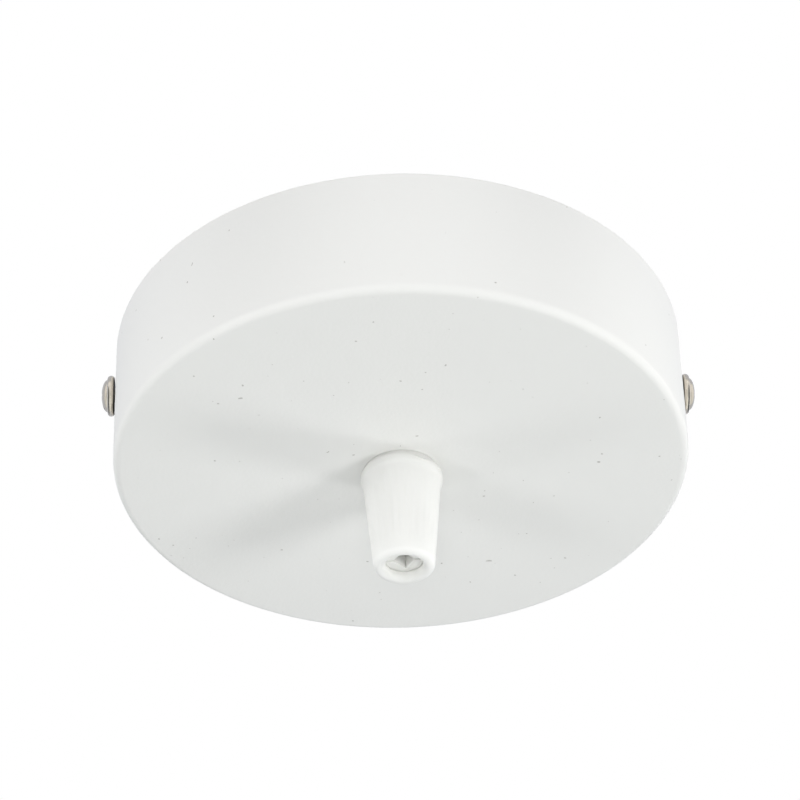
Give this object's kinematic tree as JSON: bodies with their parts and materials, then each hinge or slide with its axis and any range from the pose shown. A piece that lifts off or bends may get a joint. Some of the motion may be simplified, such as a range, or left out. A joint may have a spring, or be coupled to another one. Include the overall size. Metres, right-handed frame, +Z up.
{
  "type": "ceiling canopy",
  "caption": "Small round ceiling canopy for a pendant lamp: white cylindrical cup on a folded bracket, held by side screws, with a ribbed cord grip in its lower face.",
  "frame": {"origin": "centre of the bracket's hole in the ceiling plane, where the cup's rim and the bracket meet the ceiling", "axes": "+Z up into the ceiling; the two side screws lie along X; the cup hangs down towards -Z"},
  "size_m": [0.105, 0.1, 0.0454],
  "materials": {
    "white_powder_coat": "white powder coat, satin, fine texture",
    "white_nylon": "moulded nylon, low gloss",
    "bright_nickel": "bright nickel plate",
    "zinc_plate": "bright zinc plate on mild steel"
  },
  "bodies": {
    "canopy": {"canopy_cup": "white_powder_coat", "mounting_bracket": "zinc_plate", "grip_stem": "white_nylon", "lock_nut": "zinc_plate", "lock_washer": "zinc_plate", "earth_screw": "zinc_plate", "earth_washer": "zinc_plate"},
    "clamp": {"grip_clamp": "white_nylon"},
    "cap": {"grip_cap": "white_nylon"},
    "left_screw": {"side_screw_left": "bright_nickel"},
    "right_screw": {"side_screw_right": "bright_nickel"}
  },
  "joints": [
    {"name": "grip_slide", "type": "slide", "parent": "canopy", "child": "clamp", "axis": [0, 0, -1], "range_m": [0, 0.0075]},
    {"name": "cap_turn", "type": "hinge", "parent": "clamp", "child": "cap", "pos_m": [0, 0, -0.03], "axis": [0, 0, -1], "range_deg": [0, 1800]},
    {"name": "left_screw_out", "type": "slide", "parent": "canopy", "child": "left_screw", "axis": [-1, 0, 0], "range_m": [0, 0.005]},
    {"name": "right_screw_out", "type": "slide", "parent": "canopy", "child": "right_screw", "axis": [1, 0, 0], "range_m": [0, 0.005]}
  ],
  "couplings": [
    {"joint": "cap_turn", "follows": "grip_slide", "rad_per_m": 4188.7}
  ]
}
